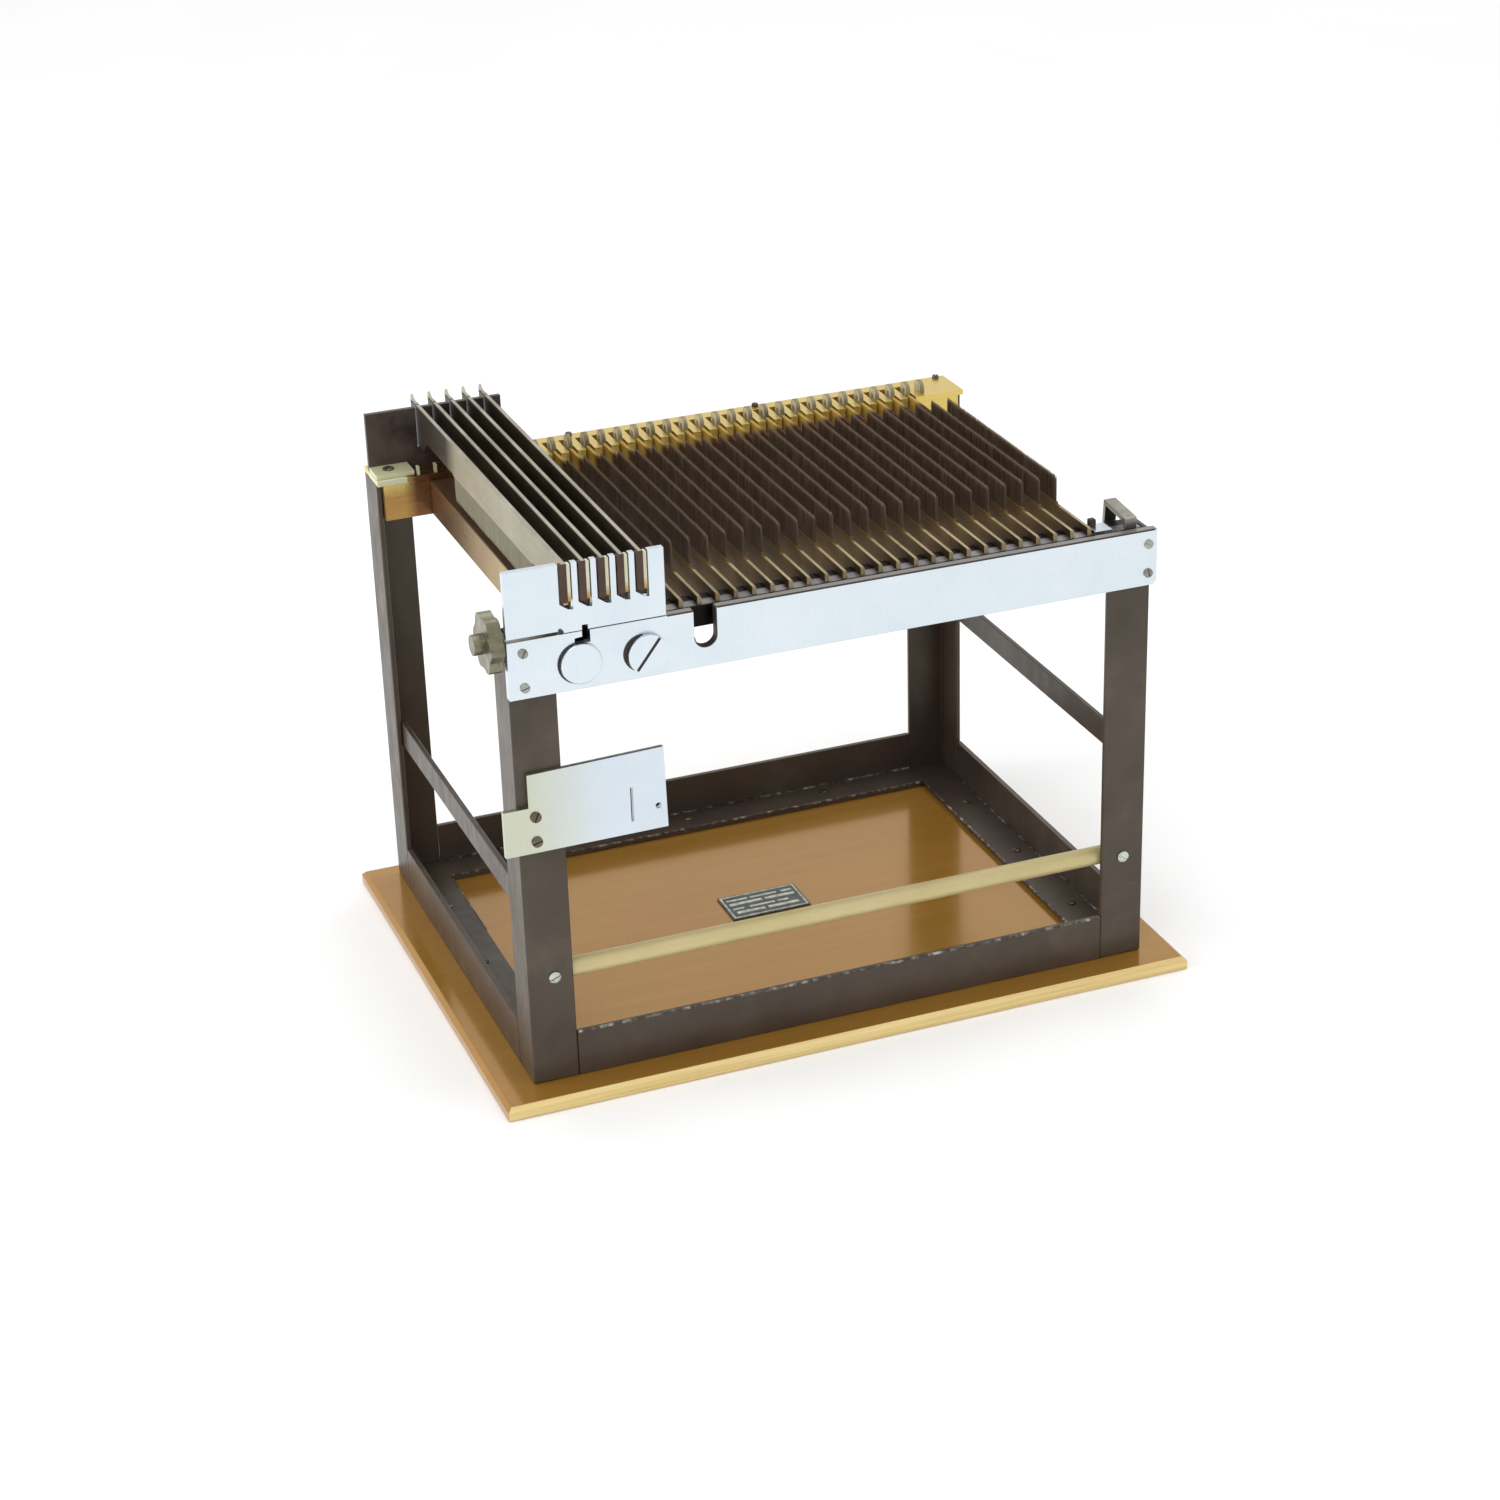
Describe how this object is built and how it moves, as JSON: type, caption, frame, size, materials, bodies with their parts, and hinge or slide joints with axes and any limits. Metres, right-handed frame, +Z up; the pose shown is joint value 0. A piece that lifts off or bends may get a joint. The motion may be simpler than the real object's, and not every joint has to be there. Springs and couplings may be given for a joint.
{
  "type": "textile fibre comb sorter",
  "caption": "Benchtop fibre comb sorter: angle-iron stand on a board, hinged lower combs, lift-out upper combs and slotted brass rear rail.",
  "frame": {"origin": "centre of the underside of the base board", "axes": "+X along the front rail to the right, +Y to the back, +Z up"},
  "size_m": [0.399, 0.296, 0.3034],
  "materials": {
    "board_wood": "glossy clear varnish",
    "iron_paint": "semi-gloss dark brown-black paint",
    "polished_steel": "polished",
    "rail_brass": "satin",
    "comb_metal": "dull, darkened by the needle rows",
    "upper_comb_metal": "worn bright edges",
    "rod_pale": "pale satin",
    "rest_dark": "dark semi-gloss",
    "plate_enamel": "dark enamel, blank"
  },
  "bodies": {
    "stand": {"base_board": "board_wood", "leg_front_left": "iron_paint", "leg_front_right": "iron_paint", "leg_rear_left": "iron_paint", "leg_rear_right": "iron_paint", "base_ring": "iron_paint", "brace_left": "iron_paint", "brace_right": "iron_paint", "tie_rod": "rod_pale", "front_rail": "polished_steel", "comb_guide": "polished_steel", "rear_rail": "rail_brass", "pivot_rod": "polished_steel", "rest_plate_front": "polished_steel", "rest_plate_rear": "rest_dark", "side_bar": "rail_brass", "catch_plate": "polished_steel", "nameplate": "plate_enamel", "end_bracket": "polished_steel"},
    "lower_body_01": {"lower_comb_01": "comb_metal"},
    "lower_body_02": {"lower_comb_02": "comb_metal"},
    "lower_body_03": {"lower_comb_03": "comb_metal"},
    "lower_body_04": {"lower_comb_04": "comb_metal"},
    "lower_body_05": {"lower_comb_05": "comb_metal"},
    "lower_body_06": {"lower_comb_06": "comb_metal"},
    "lower_body_07": {"lower_comb_07": "comb_metal"},
    "lower_body_08": {"lower_comb_08": "comb_metal"},
    "lower_body_09": {"lower_comb_09": "comb_metal"},
    "lower_body_10": {"lower_comb_10": "comb_metal"},
    "lower_body_11": {"lower_comb_11": "comb_metal"},
    "lower_body_12": {"lower_comb_12": "comb_metal"},
    "lower_body_13": {"lower_comb_13": "comb_metal"},
    "lower_body_14": {"lower_comb_14": "comb_metal"},
    "lower_body_15": {"lower_comb_15": "comb_metal"},
    "lower_body_16": {"lower_comb_16": "comb_metal"},
    "lower_body_17": {"lower_comb_17": "comb_metal"},
    "lower_body_18": {"lower_comb_18": "comb_metal"},
    "lower_body_19": {"lower_comb_19": "comb_metal"},
    "lower_body_20": {"lower_comb_20": "comb_metal"},
    "lower_body_21": {"lower_comb_21": "comb_metal"},
    "lower_body_22": {"lower_comb_22": "comb_metal"},
    "lower_body_23": {"lower_comb_23": "comb_metal"},
    "lower_body_24": {"lower_comb_24": "comb_metal"},
    "lower_body_25": {"lower_comb_25": "comb_metal"},
    "lower_body_26": {"lower_comb_26": "comb_metal"},
    "lower_body_27": {"lower_comb_27": "comb_metal"},
    "lower_body_28": {"lower_comb_28": "comb_metal"},
    "lower_body_29": {"lower_comb_29": "comb_metal"},
    "upper_body_1": {"upper_comb_1": "upper_comb_metal"},
    "upper_body_2": {"upper_comb_2": "upper_comb_metal"},
    "upper_body_3": {"upper_comb_3": "upper_comb_metal"},
    "upper_body_4": {"upper_comb_4": "upper_comb_metal"},
    "upper_body_5": {"upper_comb_5": "upper_comb_metal"},
    "knob": {"clamp_knob": "polished_steel"},
    "disc": {"eccentric_disc": "polished_steel"},
    "screw": {"rest_screw": "polished_steel"}
  },
  "joints": [
    {"name": "comb_drop_01", "type": "hinge", "parent": "stand", "child": "lower_body_01", "pos_m": [-0.134, 0.1195, 0.258], "axis": [1, 0, 0], "range_deg": [0, 38]},
    {"name": "comb_drop_02", "type": "hinge", "parent": "stand", "child": "lower_body_02", "pos_m": [-0.124, 0.1195, 0.258], "axis": [1, 0, 0], "range_deg": [0, 38]},
    {"name": "comb_drop_03", "type": "hinge", "parent": "stand", "child": "lower_body_03", "pos_m": [-0.114, 0.1195, 0.258], "axis": [1, 0, 0], "range_deg": [0, 38]},
    {"name": "comb_drop_04", "type": "hinge", "parent": "stand", "child": "lower_body_04", "pos_m": [-0.104, 0.1195, 0.258], "axis": [1, 0, 0], "range_deg": [0, 38]},
    {"name": "comb_drop_05", "type": "hinge", "parent": "stand", "child": "lower_body_05", "pos_m": [-0.094, 0.1195, 0.258], "axis": [1, 0, 0], "range_deg": [0, 38]},
    {"name": "comb_drop_06", "type": "hinge", "parent": "stand", "child": "lower_body_06", "pos_m": [-0.084, 0.1195, 0.258], "axis": [1, 0, 0], "range_deg": [0, 38]},
    {"name": "comb_drop_07", "type": "hinge", "parent": "stand", "child": "lower_body_07", "pos_m": [-0.074, 0.1195, 0.258], "axis": [1, 0, 0], "range_deg": [0, 38]},
    {"name": "comb_drop_08", "type": "hinge", "parent": "stand", "child": "lower_body_08", "pos_m": [-0.064, 0.1195, 0.258], "axis": [1, 0, 0], "range_deg": [0, 38]},
    {"name": "comb_drop_09", "type": "hinge", "parent": "stand", "child": "lower_body_09", "pos_m": [-0.054, 0.1195, 0.258], "axis": [1, 0, 0], "range_deg": [0, 38]},
    {"name": "comb_drop_10", "type": "hinge", "parent": "stand", "child": "lower_body_10", "pos_m": [-0.044, 0.1195, 0.258], "axis": [1, 0, 0], "range_deg": [0, 38]},
    {"name": "comb_drop_11", "type": "hinge", "parent": "stand", "child": "lower_body_11", "pos_m": [-0.034, 0.1195, 0.258], "axis": [1, 0, 0], "range_deg": [0, 38]},
    {"name": "comb_drop_12", "type": "hinge", "parent": "stand", "child": "lower_body_12", "pos_m": [-0.024, 0.1195, 0.258], "axis": [1, 0, 0], "range_deg": [0, 38]},
    {"name": "comb_drop_13", "type": "hinge", "parent": "stand", "child": "lower_body_13", "pos_m": [-0.014, 0.1195, 0.258], "axis": [1, 0, 0], "range_deg": [0, 38]},
    {"name": "comb_drop_14", "type": "hinge", "parent": "stand", "child": "lower_body_14", "pos_m": [-0.004, 0.1195, 0.258], "axis": [1, 0, 0], "range_deg": [0, 38]},
    {"name": "comb_drop_15", "type": "hinge", "parent": "stand", "child": "lower_body_15", "pos_m": [0.006, 0.1195, 0.258], "axis": [1, 0, 0], "range_deg": [0, 38]},
    {"name": "comb_drop_16", "type": "hinge", "parent": "stand", "child": "lower_body_16", "pos_m": [0.016, 0.1195, 0.258], "axis": [1, 0, 0], "range_deg": [0, 38]},
    {"name": "comb_drop_17", "type": "hinge", "parent": "stand", "child": "lower_body_17", "pos_m": [0.026, 0.1195, 0.258], "axis": [1, 0, 0], "range_deg": [0, 38]},
    {"name": "comb_drop_18", "type": "hinge", "parent": "stand", "child": "lower_body_18", "pos_m": [0.036, 0.1195, 0.258], "axis": [1, 0, 0], "range_deg": [0, 38]},
    {"name": "comb_drop_19", "type": "hinge", "parent": "stand", "child": "lower_body_19", "pos_m": [0.046, 0.1195, 0.258], "axis": [1, 0, 0], "range_deg": [0, 38]},
    {"name": "comb_drop_20", "type": "hinge", "parent": "stand", "child": "lower_body_20", "pos_m": [0.056, 0.1195, 0.258], "axis": [1, 0, 0], "range_deg": [0, 38]},
    {"name": "comb_drop_21", "type": "hinge", "parent": "stand", "child": "lower_body_21", "pos_m": [0.066, 0.1195, 0.258], "axis": [1, 0, 0], "range_deg": [0, 38]},
    {"name": "comb_drop_22", "type": "hinge", "parent": "stand", "child": "lower_body_22", "pos_m": [0.076, 0.1195, 0.258], "axis": [1, 0, 0], "range_deg": [0, 38]},
    {"name": "comb_drop_23", "type": "hinge", "parent": "stand", "child": "lower_body_23", "pos_m": [0.086, 0.1195, 0.258], "axis": [1, 0, 0], "range_deg": [0, 38]},
    {"name": "comb_drop_24", "type": "hinge", "parent": "stand", "child": "lower_body_24", "pos_m": [0.096, 0.1195, 0.258], "axis": [1, 0, 0], "range_deg": [0, 38]},
    {"name": "comb_drop_25", "type": "hinge", "parent": "stand", "child": "lower_body_25", "pos_m": [0.106, 0.1195, 0.258], "axis": [1, 0, 0], "range_deg": [0, 38]},
    {"name": "comb_drop_26", "type": "hinge", "parent": "stand", "child": "lower_body_26", "pos_m": [0.116, 0.1195, 0.258], "axis": [1, 0, 0], "range_deg": [0, 38]},
    {"name": "comb_drop_27", "type": "hinge", "parent": "stand", "child": "lower_body_27", "pos_m": [0.126, 0.1195, 0.258], "axis": [1, 0, 0], "range_deg": [0, 38]},
    {"name": "comb_drop_28", "type": "hinge", "parent": "stand", "child": "lower_body_28", "pos_m": [0.136, 0.1195, 0.258], "axis": [1, 0, 0], "range_deg": [0, 38]},
    {"name": "comb_drop_29", "type": "hinge", "parent": "stand", "child": "lower_body_29", "pos_m": [0.146, 0.1195, 0.258], "axis": [1, 0, 0], "range_deg": [0, 38]},
    {"name": "upper_lift_1", "type": "slide", "parent": "stand", "child": "upper_body_1", "axis": [0, 0, 1], "range_m": [0, 0.045]},
    {"name": "upper_lift_2", "type": "slide", "parent": "stand", "child": "upper_body_2", "axis": [0, 0, 1], "range_m": [0, 0.045]},
    {"name": "upper_lift_3", "type": "slide", "parent": "stand", "child": "upper_body_3", "axis": [0, 0, 1], "range_m": [0, 0.045]},
    {"name": "upper_lift_4", "type": "slide", "parent": "stand", "child": "upper_body_4", "axis": [0, 0, 1], "range_m": [0, 0.045]},
    {"name": "upper_lift_5", "type": "slide", "parent": "stand", "child": "upper_body_5", "axis": [0, 0, 1], "range_m": [0, 0.045]},
    {"name": "knob_turn", "type": "hinge", "parent": "stand", "child": "knob", "pos_m": [-0.184, -0.1215, 0.2605], "axis": [1, 0, 0], "range_deg": [-90, 90]},
    {"name": "disc_turn", "type": "hinge", "parent": "stand", "child": "disc", "pos_m": [-0.1423, -0.1355, 0.247], "axis": [0, 1, 0], "range_deg": [-90, 90]},
    {"name": "screw_turn", "type": "hinge", "parent": "stand", "child": "screw", "pos_m": [-0.1072, -0.1355, 0.2458], "axis": [0, 1, 0], "range_deg": [-90, 90]}
  ]
}
